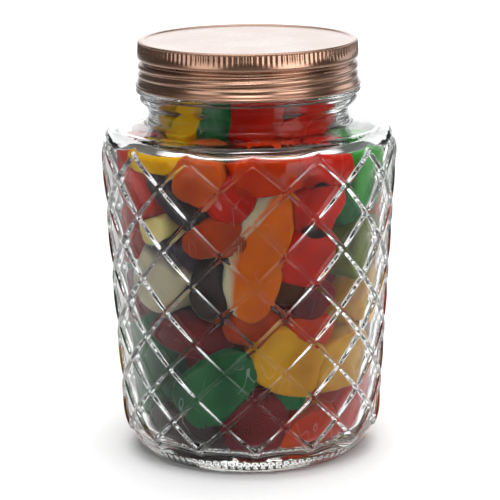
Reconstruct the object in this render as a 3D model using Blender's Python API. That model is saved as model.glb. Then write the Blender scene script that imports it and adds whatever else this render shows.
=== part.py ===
"""A clear glass jar filled with jelly sweets, shut by a copper-coloured screw lid.

Three pieces: the pressed-glass jar with a raised diamond lattice, the one-piece metal lid, and the
sweets as one heap out to its uneven outline. Metres, +Z up; the origin is the middle of the jar's foot
and the front of the jar faces -Y.
"""

import math

import bmesh
import bpy
import numpy as np
from mathutils import Matrix, Vector, noise

MM = 0.001
GAP = 0.3 * MM  # left between pieces that touch

# Jar: outer heights and radii, without the ribs
FOOT_RADIUS = 33.8 * MM  # outer edge of the ring it stands on
FOOT_INNER_RADIUS = 29.5 * MM
PUSH_UP = 2.5 * MM  # rise of the underside's middle
HEEL_HEIGHT = 13.8 * MM
HEEL_POWER = 1.6  # between a cone (1) and a round (2)
WALL_FOOT_RADIUS = 42.8 * MM
WALL_TOP_RADIUS = 48.4 * MM
WALL_TOP = 103.6 * MM
SHOULDER_HEIGHT = 8.2 * MM
SHOULDER_DEPTH = 8.0 * MM
SHOULDER_POWER = 3.0
NECK_RADIUS = 33.4 * MM
BULGE_RADIUS = 36.0 * MM  # below the lid
BEAD_RADIUS = 37.4 * MM  # right under the lid
FINISH_RADIUS = 35.0 * MM  # inside the lid
MOUTH_TOP = 138.0 * MM
GLASS = 2.6 * MM  # wall thickness
NECK_BORE = 30.6 * MM
FLOOR_TOP = 7.2 * MM  # inside floor at the middle
FLOOR_EDGE = 6.2 * MM
FLOOR_RADIUS = 33.0 * MM

# Lattice: ribs between nodes that stand in rows, each row half a step round from the next
COLUMNS = 14
ROWS = 10  # gaps between rows, top to bottom
LATTICE_TURN = 0.055  # of a step, to the right of the front
ROW_ONE = 97.3 * MM
TOP_GAP = 9.3 * MM
ROW_GAP = 10.75 * MM  # below row one, and each next gap is a little less
ROW_GAP_LESS = 0.24 * MM
RIB_HEIGHT = 0.75 * MM
RIB_SHARE = 0.085  # of a diamond's side, from a rib's crest to its foot

# Lid
LID_BOTTOM = 125.0 * MM
LID_TOP = 139.5 * MM
LID_PANEL = 139.0 * MM
LID_SHEET = 0.6 * MM
LID_BAND_RADIUS = 36.6 * MM
LID_SKIRT_RADIUS = 36.3 * MM
LID_BORE = 35.4 * MM
LID_SIDES = 42
THREAD_TOP = 133.9 * MM
THREAD_BOTTOM = 127.4 * MM
THREAD_PITCH = 5.0 * MM
THREAD_DEPTH = 0.4 * MM
THREAD_ROWS = 7

# Sweets: length, width and thickness of the usual one
SWEET_SIZE = (25.0 * MM, 19.0 * MM, 15.0 * MM)
SWEET_POWER = 2.8  # how square a sweet is
SWELL = 1.06  # the jelly gives where sweets press on each other, so each is larger than its room
FACET_SWELL = 1.03  # makes up for what flat faces cut off the round
LUMPS = 0.17  # share of its size, of the broad lumps that make each one uneven
LUMP_SCALE = 1.1  # lumps across half a sweet
NOISE_STEP = (7.3, 3.1)  # from one sweet's place in the noise to the next one's
BEND = 0.16  # share of its thickness, that a sweet's ends curl
BEND_LEVEL = 0.4  # where a bent sweet crosses its own middle
PRESS = 1.4 * MM  # how much of a sweet's thickness is pressed flat by the glass
CORE_INSET = 9.0 * MM  # from the glass to the heap's core
SHOULDER_UNDER = 107.5 * MM  # the sweets stay under the shoulder
FILL_TOP = 123.5 * MM  # and under the head-space in the neck
SETTLE_STEPS = 50
SETTLE_PUSH = 1.2  # share of an overlap that one step undoes
SOFTNESS = 0.75  # of its thickness, that a sweet keeps where others press on it
SEED = 7

# Sweets at the front and round the neck, by hand: angle right of the front (degrees), height of the
# middle, length and width (mm), turn of the length from level (degrees), depth behind the glass (mm)
FRONT_SWEETS = (
    (-40, 105, 22, 8, -3, 0),
    (-59, 97, 26, 14, -45, 0),
    (-22, 99, 16, 17, -10, 0),
    (-7, 92, 16, 14, 60, 1),
    (8, 102, 22, 13, 5, 0),
    (32, 102, 20, 13, 0, 0),
    (60, 99, 22, 16, 80, 0),
    (50, 88, 12, 10, 0, 3),
    (30, 90, 18, 16, 60, 0),
    (-1, 75, 42, 17, 74, 0),
    (26, 77, 21, 17, 70, 0),
    (60, 74, 20, 14, 65, 0),
    (79, 80, 22, 15, 80, 1),
    (-33, 93, 21, 10, -40, 1),
    (-12, 85, 20, 13, 10, 1),
    (-43, 80, 11, 9, 20, 1),
    (-70, 77, 20, 13, 60, 1),
    (-36, 68, 27, 20, 55, 0),
    (-17, 66, 20, 12, 95, 2),
    (-68, 54, 19, 14, 70, 1),
    (-25, 37, 26, 14, -10, 3),
    (2, 50, 17, 11, 0, 3),
    (13, 61, 12, 10, 0, 3),
    (26, 57, 15, 12, 40, 2),
    (70, 56, 19, 12, 70, 1),
    (28, 50, 15, 11, 0, 2),
    (18, 38, 22, 20, -20, 0),
    (46, 37, 24, 18, 10, 0),
    (-66, 34, 34, 18, 85, 0),
    (-17, 24, 28, 20, 40, 0),
    (1, 17, 23, 18, 60, 0),
    (16, 27, 11, 9, 0, 3),
    (60, 21, 22, 17, 40, 0),
    (32, 13, 22, 15, 20, 0),
    (-32, 12, 28, 15, -5, 0),
    (-12, 10, 15, 10, 10, 4),
    (-47, 113, 22, 12, 60, 0),
    (-24, 113, 20, 11, 70, 1),
    (3, 116, 19, 16, 80, 0),
    (37, 114, 24, 15, 20, 0),
)

# Sweets round the back, by rule, in rings that interlock
BACK_LEVELS = tuple(height * MM for height in (16, 36, 56, 76, 95))
BACK_START, BACK_END = 98, 262  # degrees
BACK_COUNT = 5  # in each ring
BACK_OFFSETS = (0.3, 0.7)  # of a step, for every other ring
BACK_SPREAD = 4  # degrees
BACK_LIFT = 2.0 * MM
BACK_SIZES = (0.9, 1.08)  # share of the usual size
NECK_BACK = (115, 170, 230, 285)  # degrees, of those at the back of the neck
NECK_LEVEL = 113.0 * MM
NECK_WIDTH = 0.8  # share of the usual width
NECK_TURN = 30  # degrees either way


def clear_scene():
    for obj in list(bpy.data.objects):
        bpy.data.objects.remove(obj, do_unlink=True)


def new_material(name, colour, roughness, metallic=0.0, transmission=0.0):
    material = bpy.data.materials.new(name)
    material.use_nodes = True
    shader = material.node_tree.nodes["Principled BSDF"]
    shader.inputs["Base Color"].default_value = (*colour, 1.0)
    shader.inputs["Roughness"].default_value = roughness
    shader.inputs["Metallic"].default_value = metallic
    shader.inputs["Transmission Weight"].default_value = transmission
    return material


def add_object(name, mesh, material=None):
    if material:
        mesh.materials.append(material)
    obj = bpy.data.objects.new(name, mesh)
    bpy.context.scene.collection.objects.link(obj)
    return obj


def finish_mesh(bm, name, sharp_degrees=40):
    """Weld the points that meet, face everything outwards and shade it smooth."""
    bmesh.ops.remove_doubles(bm, verts=bm.verts, dist=1e-6)
    bmesh.ops.recalc_face_normals(bm, faces=bm.faces)
    mesh = bpy.data.meshes.new(name)
    bm.to_mesh(mesh)
    bm.free()
    mesh.shade_smooth()
    mesh.set_sharp_from_angle(angle=math.radians(sharp_degrees))
    return mesh


def rounded(centre, size, power, start, end, count):
    """Points (radius, height) of a quarter of a squared ellipse, from angle start to end in degrees."""
    points = []
    for angle in np.radians(np.linspace(start, end, count)):
        across, up = math.cos(angle), math.sin(angle)
        points.append(
            (
                centre[0] + math.copysign(size[0] * abs(across) ** (2 / power), across),
                centre[1] + math.copysign(size[1] * abs(up) ** (2 / power), up),
            )
        )
    return points


def add_rings(bm, profile, sides, turn=0.0, radius_at=None):
    """Rings of a turned profile of (radius, height) points, joined by quads. A point on the axis is a cap."""
    rings = []
    for radius, height in profile:
        if radius == 0:
            rings.append([bm.verts.new((0, 0, height))])
            continue
        ring = []
        for side in range(sides):
            angle = turn + 2 * math.pi * side / sides
            reach = radius_at(radius, angle, height) if radius_at else radius
            ring.append(bm.verts.new((reach * math.sin(angle), -reach * math.cos(angle), height)))
        rings.append(ring)
    for low, high in zip(rings, rings[1:]):
        join_rings(bm, low, high)
    return rings


def join_rings(bm, low, high):
    """Faces between two rings. One may have twice as many points as the other, or be a single point."""
    counts = sorted((len(low), len(high)))
    sides = counts[1] if counts[0] == 1 else counts[0]
    for side in range(sides):
        lower, upper = (
            [ring[k % len(ring)] for k in range(side * len(ring) // sides, (side + 1) * len(ring) // sides + 1)]
            for ring in (low, high)
        )
        bm.faces.new(list(dict.fromkeys(lower + upper[::-1])))


# --- Jar ---------------------------------------------------------------------------------------------


def wall_radius(height):
    """Outer radius of the jar between its foot and the top of its shoulder, without ribs."""
    if height < HEEL_HEIGHT:
        drop = 1 - max(height, 0.0) / HEEL_HEIGHT
        bulge = (1 - drop**HEEL_POWER) ** (1 / HEEL_POWER)
        return FOOT_RADIUS + (WALL_FOOT_RADIUS - FOOT_RADIUS) * bulge
    if height < WALL_TOP:
        share = (height - HEEL_HEIGHT) / (WALL_TOP - HEEL_HEIGHT)
        return WALL_FOOT_RADIUS + (WALL_TOP_RADIUS - WALL_FOOT_RADIUS) * share
    rise = min((height - WALL_TOP) / SHOULDER_HEIGHT, 1.0)
    return WALL_TOP_RADIUS - SHOULDER_DEPTH * (1 - (1 - rise**SHOULDER_POWER) ** (1 / SHOULDER_POWER))


def row_height(row):
    """Height of a lattice row, counted down from the rib tips at the shoulder. It takes parts of a row."""
    if row < 1:
        return ROW_ONE + TOP_GAP * (1 - row)
    below = row - 1
    return ROW_ONE - ROW_GAP * below + ROW_GAP_LESS * below * (below - 1) / 2


def lattice_place(column, row, relief):
    """A point on the ribbed wall. Columns count half steps round from the front."""
    angle = (column / 2 + LATTICE_TURN) * 2 * math.pi / COLUMNS
    height = row_height(row)
    radius = wall_radius(height) + RIB_HEIGHT * relief
    return Vector((radius * math.sin(angle), -radius * math.cos(angle), height))


def add_fan(bm, corners, centre):
    """Faces from a point to each side of a polygon round it, except a side that the point lies on."""
    for one, other in zip(corners, corners[1:] + corners[:1]):
        if abs(one.co.z - centre.co.z) + abs(other.co.z - centre.co.z) > 1e-6:
            bm.faces.new((one, other, centre))


def add_lattice(bm):
    """The ribbed wall, diamond by diamond. Returns its upper and its lower edge as rings of points."""
    steps = (0.0, RIB_SHARE, 1 - RIB_SHARE, 1.0)
    last = len(steps) - 1
    made = {}

    def point(column, row):
        key = (round(column, 4) % (2 * COLUMNS), round(row, 4))
        if key not in made:
            across = (row + column) / 2 % 1
            along = (row - column) / 2 % 1
            on_rib = min(across, 1 - across, along, 1 - along) < 1e-6
            made[key] = bm.verts.new(lattice_place(column, row, float(on_rib)))
        return made[key]

    for middle_row in range(ROWS + 1):
        for middle in range(middle_row % 2 + 1, 2 * COLUMNS + middle_row % 2 + 1, 2):
            for a in range(last):
                for b in range(last):
                    corners = [
                        (middle + steps[i] - steps[j], middle_row - 1 + steps[i] + steps[j], i + j)
                        for i, j in ((a, b), (a + 1, b), (a + 1, b + 1), (a, b + 1))
                    ]
                    if middle_row == 0:
                        corners = [corner for corner in corners if corner[2] >= last]
                    if middle_row == ROWS:
                        corners = [corner for corner in corners if corner[2] <= last]
                    places = [point(column, row) for column, row, _ in corners]
                    if a == b == 1:
                        add_fan(bm, places, point(middle, middle_row))
                    elif len(places) > 2:
                        bm.faces.new(places)
    edges = []
    for row in (0, ROWS):
        found = [(key[0], vert) for key, vert in made.items() if abs(key[1] - row) < 1e-6]
        edges.append([vert for _, vert in sorted(found, key=lambda pair: pair[0])])
    return edges


def upper_profile():
    """The outside of the jar from just above the lattice to the middle of its mouth."""
    shoulder_centre = (WALL_TOP_RADIUS - SHOULDER_DEPTH, WALL_TOP)
    shoulder = rounded(shoulder_centre, (SHOULDER_DEPTH, SHOULDER_HEIGHT), SHOULDER_POWER, 52, 90, 5)
    neck = [(36.0 * MM, 112.1 * MM), (34.0 * MM, 112.7 * MM)]
    neck += [(NECK_RADIUS, 113.8 * MM), (NECK_RADIUS, 116.6 * MM)]
    bulge = [(34.8 * MM, 118.2 * MM), (BULGE_RADIUS, 119.8 * MM), (BULGE_RADIUS, 121.4 * MM)]
    bead = [(BEAD_RADIUS - 1.0 * MM, 122.2 * MM), (BEAD_RADIUS, 123.0 * MM), (BEAD_RADIUS, 123.9 * MM)]
    finish = [(FINISH_RADIUS, 124.6 * MM), (FINISH_RADIUS, MOUTH_TOP - 1.0 * MM), (34.2 * MM, MOUTH_TOP)]
    return shoulder + neck + bulge + bead + finish + [(0, MOUTH_TOP)]


def lower_profile():
    """The heel and the foot, from just below the lattice down to the middle of the underside."""
    heel = [(wall_radius(height * MM), height * MM) for height in (7.6, 5.2, 2.8, 1.2, 0.35)]
    foot = [(FOOT_RADIUS - 0.6 * MM, 0.0), (FOOT_INNER_RADIUS, 0.0)]
    return heel + foot + [(FOOT_INNER_RADIUS - 3 * MM, 1.4 * MM), (0, PUSH_UP)]


def cavity_profile():
    """The inside of the jar from the middle of its floor up to its mouth."""
    floor = [(0, FLOOR_TOP), (FLOOR_RADIUS, FLOOR_EDGE)]
    heel = [(38.0 * MM, 8.6 * MM), (WALL_FOOT_RADIUS - GLASS, HEEL_HEIGHT)]
    wall_top = (WALL_TOP_RADIUS - GLASS, 101.0 * MM)
    shoulder = rounded((38.0 * MM, wall_top[1]), (wall_top[0] - 38.0 * MM, 7.9 * MM), SHOULDER_POWER, 25, 90, 4)
    throat = [(33.4 * MM, 109.5 * MM), (NECK_BORE, 112.0 * MM)]
    mouth = [(NECK_BORE, 137.2 * MM), (31.4 * MM, 138.6 * MM)]
    return floor + heel + [wall_top] + shoulder + throat + mouth


def make_jar(material):
    bm = bmesh.new()
    upper_edge, lower_edge = add_lattice(bm)
    turn = LATTICE_TURN * 2 * math.pi / COLUMNS
    for edge, profile in ((upper_edge, upper_profile()), (lower_edge, lower_profile())):
        rings = add_rings(bm, profile, 2 * COLUMNS, turn)
        join_rings(bm, edge, rings[0])
    jar = add_object("jar", finish_mesh(bm, "jar"), material)

    cutter_bm = bmesh.new()
    add_rings(cutter_bm, cavity_profile() + [(0, MOUTH_TOP + 2 * MM)], 2 * COLUMNS, turn)
    cavity = add_object("cavity", finish_mesh(cutter_bm, "cavity"))
    cavity.hide_render = True
    cavity.display_type = "WIRE"
    hollow = jar.modifiers.new("hollow", "BOOLEAN")
    hollow.operation = "DIFFERENCE"
    hollow.object = cavity
    return jar


# --- Lid ---------------------------------------------------------------------------------------------


def lid_radius(radius, angle, height):
    """The rolled thread: a groove that climbs one pitch a turn round the skirt."""
    if not THREAD_BOTTOM <= height <= THREAD_TOP or radius < LID_SKIRT_RADIUS - 0.1 * MM:
        return radius
    turns = (height - THREAD_BOTTOM) / THREAD_PITCH - angle / (2 * math.pi)
    fade = math.sin(math.pi * (height - THREAD_BOTTOM) / (THREAD_TOP - THREAD_BOTTOM)) ** 0.5
    return radius - THREAD_DEPTH * fade * (0.5 + 0.5 * math.cos(2 * math.pi * turns))


def make_lid(material):
    panel = [(0, LID_PANEL), (33.6 * MM, LID_PANEL), (34.4 * MM, LID_TOP), (35.5 * MM, LID_TOP)]
    band = [(36.35 * MM, 138.7 * MM), (LID_BAND_RADIUS, 138.2 * MM), (LID_BAND_RADIUS, 136.0 * MM)]
    thread = [
        (LID_SKIRT_RADIUS, height)
        for height in np.linspace(THREAD_TOP + 0.1 * MM, THREAD_BOTTOM - 0.1 * MM, THREAD_ROWS)
    ]
    curl = [(36.7 * MM, 126.2 * MM), (36.8 * MM, LID_BOTTOM + 0.2 * MM), (36.4 * MM, LID_BOTTOM)]
    inside = [(36.0 * MM, LID_BOTTOM), (LID_BORE, 125.8 * MM), (LID_BORE, LID_PANEL - LID_SHEET)]
    bm = bmesh.new()
    outline = panel + band + thread + curl + inside + [(0, LID_PANEL - LID_SHEET)]
    add_rings(bm, outline, LID_SIDES, radius_at=lid_radius)
    return add_object("lid", finish_mesh(bm, "lid"), material)


# --- Sweets ------------------------------------------------------------------------------------------


def room_radius(height):
    """How far from the axis a sweet may reach at a height."""
    radii, levels = zip(*cavity_profile()[1:])
    return np.interp(height, levels, radii) - 3 * GAP


def shift_inside(points, radii):
    """How far each ball must move to stay clear of the glass, the floor and the head-space."""
    reach = np.hypot(points[:, 0], points[:, 1]) + 1e-9
    wide = reach + radii - room_radius(MOUTH_TOP - 5 * MM)
    high = points[:, 2] + radii - SHOULDER_UNDER
    inwards = np.maximum(reach + radii - room_radius(points[:, 2]), 0)
    inwards = np.where(high > wide, np.maximum(inwards, wide), inwards)
    down = np.where(high > wide, 0, np.maximum(high, 0))
    down = np.maximum(down, points[:, 2] + radii - FILL_TOP)
    up = np.maximum(FLOOR_TOP + GAP + radii - points[:, 2], 0)
    away = -points / reach[:, None] * inwards[:, None]
    away[:, 2] = up - down
    return away


def frame_at(angle, turn):
    """Axes of a sweet that lies against the glass: its length, its width, and straight out."""
    out = Vector((math.sin(angle), -math.cos(angle), 0))
    right = Vector((math.cos(angle), math.sin(angle), 0))
    up = Vector((0, 0, 1))
    length = math.cos(turn) * right + math.sin(turn) * up
    width = math.cos(turn) * up - math.sin(turn) * right
    return Matrix((length, width, out)).transposed()


def lay_sweets():
    """Every sweet of the heap's outside as [place, axes, half sizes], before they settle."""
    sweets = []

    def lay(angle, height, length, width, turn, depth):
        thick = min(SWEET_SIZE[2], width) / 2
        reach = room_radius(height) - thick + PRESS - depth
        place = Vector((reach * math.sin(angle), -reach * math.cos(angle), height))
        sweets.append((place, frame_at(angle, turn), (length / 2, width / 2, thick)))

    for angle, height, length, width, turn, depth in FRONT_SWEETS:
        lay(math.radians(angle), height * MM, length * MM, width * MM, math.radians(turn), depth * MM)
    draw = np.random.default_rng(SEED)
    step = (BACK_END - BACK_START) / BACK_COUNT
    for ring, level in enumerate(BACK_LEVELS):
        for place in range(BACK_COUNT):
            angle = BACK_START + step * (place + BACK_OFFSETS[ring % 2])
            angle += draw.uniform(-BACK_SPREAD, BACK_SPREAD)
            height = level + draw.uniform(-BACK_LIFT, BACK_LIFT)
            length, width = draw.uniform(*BACK_SIZES, 2) * SWEET_SIZE[:2]
            lay(math.radians(angle), height, length, width, math.radians(draw.uniform(0, 180)), 0)
    for angle in NECK_BACK:
        turn = math.radians(draw.uniform(-NECK_TURN, NECK_TURN))
        lay(math.radians(angle), NECK_LEVEL, SWEET_SIZE[0], SWEET_SIZE[1] * NECK_WIDTH, turn, 0)
    return sweets


def settle(sweets):
    """Push the sweets apart where they overlap, each taken as a few balls, and back against the glass."""
    places = np.array([place for place, _, _ in sweets])
    owners, offsets, radii = [], [], []
    for owner, (_, axes, half) in enumerate(sweets):
        ball = half[2]
        counts = [max(1, math.ceil(half[side] / ball)) for side in (0, 1)]
        reach = [np.linspace(-1, 1, count) * (half[side] - ball) if count > 1 else [0.0]
                 for side, count in enumerate(counts)]
        for along in reach[0]:
            for across in reach[1]:
                owners.append(owner)
                offsets.append(axes @ Vector((along, across, 0)))
                radii.append(ball * SOFTNESS)
    owners, offsets, radii = np.array(owners), np.array(offsets), np.array(radii)
    others = owners[:, None] != owners[None, :]
    for _ in range(SETTLE_STEPS):
        balls = places[owners] + offsets
        apart = balls[:, None] - balls[None, :]
        distance = np.sqrt((apart**2).sum(axis=2)) + 1e-9
        overlap = np.where(others, np.maximum(radii[:, None] + radii[None, :] - distance, 0), 0)
        push = (apart * (overlap / distance)[:, :, None]).sum(axis=1) / 2
        move = np.zeros_like(places)
        touching = np.ones(len(places))
        np.add.at(move, owners, push)
        np.add.at(touching, owners, (overlap > 0).sum(axis=1))
        places += SETTLE_PUSH * move / touching[:, None]
        shifts = shift_inside(places[owners] + offsets, radii)
        for owner in range(len(places)):
            mine = shifts[owners == owner]
            places[owner] += mine[np.argmax(np.abs(mine), axis=0), (0, 1, 2)]
    return places


def block_points(cuts):
    """Points and faces of a cube whose sides are cut into cuts x cuts squares."""
    bm = bmesh.new()
    bmesh.ops.create_cube(bm, size=2)
    if cuts > 1:
        bmesh.ops.subdivide_edges(bm, edges=bm.edges[:], cuts=cuts - 1, use_grid_fill=True)
    bm.verts.ensure_lookup_table()
    points = np.array([vert.co for vert in bm.verts])
    faces = [[vert.index for vert in face.verts] for face in bm.faces]
    bm.free()
    return points, faces


def sweet_points(number, place, axes, half, block):
    """Points of one sweet: a rounded block with lumps and a bend of its own, pressed flat at the glass."""
    local = block / (np.abs(block) ** SWEET_POWER).sum(axis=1, keepdims=True) ** (1 / SWEET_POWER)
    drift = Vector((*NOISE_STEP, 0)) * number
    lumps = np.array([noise.noise(Vector(point) * LUMP_SCALE + drift) for point in local])
    shape = local * SWELL * FACET_SWELL * (1 + LUMPS * lumps)[:, None]
    shape[:, 2] += BEND * (shape[:, 0] ** 2 - BEND_LEVEL) * (number % 3 - 1)
    world = place + (shape * half) @ np.array(axes).T
    return world + shift_inside(world, 0.0)


def make_sweet(points, faces):
    """One closed sweet from its points."""
    bm = bmesh.new()
    verts = [bm.verts.new(point) for point in points]
    for face in faces:
        bm.faces.new([verts[index] for index in face])
    bmesh.ops.triangulate(bm, faces=bm.faces)
    return finish_mesh(bm, "sweet")


def keep_outer_skin(mesh):
    """Delete every island of faces but the largest: hollows that the join sealed, and loose scraps."""
    bm = bmesh.new()
    bm.from_mesh(mesh)
    waiting = dict.fromkeys(bm.verts)
    islands = []
    while waiting:
        island = [waiting.popitem()[0]]
        for vert in island:
            for edge in vert.link_edges:
                other = edge.other_vert(vert)
                if other in waiting:
                    del waiting[other]
                    island.append(other)
        islands.append(island)
    islands.sort(key=len)
    for island in islands[:-1]:
        bmesh.ops.delete(bm, geom=island, context="VERTS")
    bm.to_mesh(mesh)
    bm.free()


def make_sweets(material):
    """The heap: a turned core with the sweets of its outside fused on."""
    core_levels = [FLOOR_TOP + 1 * MM, 20 * MM, 60 * MM, 96 * MM, 107 * MM, 117 * MM]
    core = [(0, core_levels[0])]
    core += [(room_radius(level) - CORE_INSET, level) for level in core_levels]
    bm = bmesh.new()
    add_rings(bm, core + [(0, core_levels[-1] + 1 * MM)], COLUMNS)
    heap = add_object("sweets", finish_mesh(bm, "sweets"), material)

    pieces = bpy.data.collections.new("pieces")
    bpy.context.scene.collection.children.link(pieces)
    block, faces = block_points(2)
    sweets = lay_sweets()
    for number, (place, (_, axes, half)) in enumerate(zip(settle(sweets), sweets)):
        mesh = make_sweet(sweet_points(number, place, axes, half, block), faces)
        pieces.objects.link(bpy.data.objects.new("piece", mesh))

    fuse = heap.modifiers.new("fuse", "BOOLEAN")
    fuse.operation = "UNION"
    fuse.operand_type = "COLLECTION"
    fuse.solver = "MANIFOLD"
    fuse.collection = pieces
    bpy.context.view_layer.objects.active = heap
    bpy.ops.object.modifier_apply(modifier="fuse")
    for obj in list(pieces.objects):
        bpy.data.objects.remove(obj, do_unlink=True)
    bpy.data.collections.remove(pieces)
    keep_outer_skin(heap.data)
    heap.data.shade_smooth()
    heap.data.set_sharp_from_angle(angle=math.radians(40))
    return heap


def main():
    clear_scene()
    make_jar(new_material("clear_glass", (0.95, 0.97, 0.96), 0.03, transmission=1.0))
    make_lid(new_material("copper_lid", (0.42, 0.27, 0.21), 0.3, metallic=1.0))
    make_sweets(new_material("jelly_sweets", (0.55, 0.09, 0.04), 0.3))


main()
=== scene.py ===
# %% [markdown]
# # A glass jar of jelly sweets
#
# The real thing is a pressed-glass jar with a raised diamond lattice, shut by a copper-coloured screw lid
# and filled with jujubes. The solids of the jar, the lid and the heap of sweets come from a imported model.
# This file dresses them: each step makes one piece at its true size, over the solid that it stands for.

# %% Load the frame
import math

import bmesh
import bpy
import numpy as np
from mathutils import Matrix, Vector, noise


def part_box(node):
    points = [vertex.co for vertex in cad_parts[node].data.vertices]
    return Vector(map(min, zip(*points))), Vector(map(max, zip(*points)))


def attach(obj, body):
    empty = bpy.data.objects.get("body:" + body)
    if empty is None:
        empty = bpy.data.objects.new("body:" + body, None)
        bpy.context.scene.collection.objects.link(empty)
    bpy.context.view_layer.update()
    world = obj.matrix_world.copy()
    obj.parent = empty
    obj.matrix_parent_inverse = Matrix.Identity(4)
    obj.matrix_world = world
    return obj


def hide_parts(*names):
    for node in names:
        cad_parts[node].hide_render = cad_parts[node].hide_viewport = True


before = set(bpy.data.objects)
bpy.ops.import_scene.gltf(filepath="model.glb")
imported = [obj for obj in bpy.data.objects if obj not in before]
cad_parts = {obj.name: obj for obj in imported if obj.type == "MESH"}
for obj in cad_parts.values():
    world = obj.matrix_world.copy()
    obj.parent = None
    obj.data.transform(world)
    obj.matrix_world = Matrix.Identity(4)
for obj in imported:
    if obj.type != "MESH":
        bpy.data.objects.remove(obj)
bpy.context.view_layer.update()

MM = 0.001
jar_low, jar_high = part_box("jar")
lid_low, lid_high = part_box("lid")
print("solids:", ", ".join(sorted(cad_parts)))
print("the jar reaches", round(jar_high.z / MM, 1), "mm, the lid's top", round(lid_high.z / MM, 1), "mm")
print("the lid is", round((lid_high.z - lid_low.z) / MM, 1), "mm tall")

# %% [markdown]
# ## Camera
#
# The photograph was taken from a little above, with a long lens. The camera looks at a point on the jar's
# axis half way up. Its distance, its lens and its slight tilt were found by fitting the crossings of the
# lattice. A long lens keeps the jar's sides nearly parallel, as in the picture.

# %% Place the camera
CAMERA_DISTANCE = 768 * MM
CAMERA_ANGLE = math.radians(13.29)  # looking down
CAMERA_TILT = math.radians(-0.65)
CAMERA_LENS = 163.8  # millimetres, on a 36 mm sensor
AIM_HEIGHT = 67.6 * MM

back = Vector((0, -math.cos(CAMERA_ANGLE), math.sin(CAMERA_ANGLE)))
camera_data = bpy.data.cameras.new("camera")
camera_data.lens = CAMERA_LENS
camera = bpy.data.objects.new("camera", camera_data)
camera.matrix_world = (
    Matrix.Translation(Vector((0, 0, AIM_HEIGHT)) + back * CAMERA_DISTANCE)
    @ back.to_track_quat("Z", "Y").to_matrix().to_4x4()
    @ Matrix.Rotation(CAMERA_TILT, 4, "Z")
)
bpy.context.scene.collection.objects.link(camera)
bpy.context.scene.camera = camera
print("camera at", [round(value, 3) for value in camera.location])

# %% [markdown]
# ## Light
#
# Clear glass only shows what is round it. Product photographers stand it before a bright wall, and keep the
# room behind the camera darker, so that every edge of the glass bends a dark line into the picture. Here the
# world is dim all round. A large soft box behind the jar is the bright wall, and one overhead makes the paper
# white. A narrow one, high at the back, shines in the top of the lid. One above the front and one on each side
# light the jujubes and draw bands on the lid, and a weak card lifts the right edge. Spread is an area lamp's
# own hood: the smaller its angle, the more of its light stays in a beam, and the less of it greys the glass.

# %% Light the jar
SKY_LIGHT = 0.15
SOFTBOXES = {
    # name: place, width and height, brightness, what it is turned to, spread in degrees
    "overhead_softbox": ((0, 0.66, 0.5), (0.46, 1.8), 1.3, (0, 0.6601, 0), 100),
    "back_wall": ((0, 1.6, 0.5), (1.4, 1.0), 0.95, (0, 0, 0.5), 180),
    "lid_softbox": ((0, 1.4, 0.55), (0.5, 0.9), 0.45, (0, 0, 0.15), 180),
    "front_softbox": ((0, -0.5, 0.6), (0.9, 0.16), 1.0, (0, 0, 0.1), 50),
    "left_softbox": ((-0.39, -0.39, 0.22), (0.34, 0.4), 0.6, (0, 0, 0.2), 90),
    "right_softbox": ((0.39, -0.39, 0.22), (0.34, 0.4), 1.2, (0, 0, 0.2), 90),
    "right_card": ((0.7, 0.4, 0.3), (0.5, 0.5), 0.25, (0, 0, 0.14), 60),
}

world = bpy.data.worlds.new("studio")
bpy.context.scene.world = world
world.use_nodes = True
sky = world.node_tree.nodes["Background"]
sky.inputs["Color"].default_value = (1, 1, 1, 1)
sky.inputs["Strength"].default_value = SKY_LIGHT


def add_softbox(name, place, size, brightness, aim, spread):
    """A flat lamp at a place, turned to a point. Its brightness is that of its face, whatever its size."""
    lamp = bpy.data.lights.new(name, "AREA")
    lamp.shape = "RECTANGLE"
    lamp.size, lamp.size_y = size
    lamp.energy = brightness * math.pi * size[0] * size[1]
    lamp.spread = math.radians(spread)
    stand = bpy.data.objects.new(name, lamp)
    stand.location = place
    stand.rotation_euler = (stand.location - Vector(aim)).to_track_quat("Z", "Y").to_euler()
    bpy.context.scene.collection.objects.link(stand)


for name, softbox in SOFTBOXES.items():
    add_softbox(name, *softbox)

bpy.context.scene.view_settings.view_transform = "Standard"
# Light crosses four skins of glass on its way through the jar, and bounces between them
cycles = bpy.context.scene.cycles
cycles.use_denoising = True
cycles.max_bounces = 20
cycles.transmission_bounces = 16
cycles.glossy_bounces = 8
cycles.transparent_max_bounces = 8
print("lights:", [lamp.name for lamp in bpy.data.lights])

# %% [markdown]
# ## Materials
#
# Each finish is one Principled shader with procedural nodes for what varies over the surface. A small helper
# makes the shader and sets its plain values. Another adds a noise pattern in object space, which needs no
# unwrapping and follows the piece. The others turn that pattern into a value, a colour or fine relief.

# %% Helpers for materials
RAMP_START, RAMP_END = 0.3, 0.7  # most of a noise pattern lies between these


def new_finish(name, **values):
    """A material whose Principled shader has these values. Underscores stand for spaces."""
    finish = bpy.data.materials.new(name)
    finish.use_nodes = True
    shader = finish.node_tree.nodes["Principled BSDF"]
    for key, value in values.items():
        shader.inputs[key.replace("_", " ")].default_value = value
    return finish, finish.node_tree, shader


def add_noise(tree, scale, detail=2.0, stretch=(1, 1, 1)):
    """A noise pattern in object space. Scale is in waves a metre."""
    place = tree.nodes.new("ShaderNodeTexCoord")
    mapping = tree.nodes.new("ShaderNodeMapping")
    mapping.inputs["Scale"].default_value = stretch
    pattern = tree.nodes.new("ShaderNodeTexNoise")
    pattern.inputs["Scale"].default_value = scale
    pattern.inputs["Detail"].default_value = detail
    tree.links.new(place.outputs["Object"], mapping.inputs["Vector"])
    tree.links.new(mapping.outputs["Vector"], pattern.inputs["Vector"])
    return pattern.outputs["Fac"]


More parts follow.
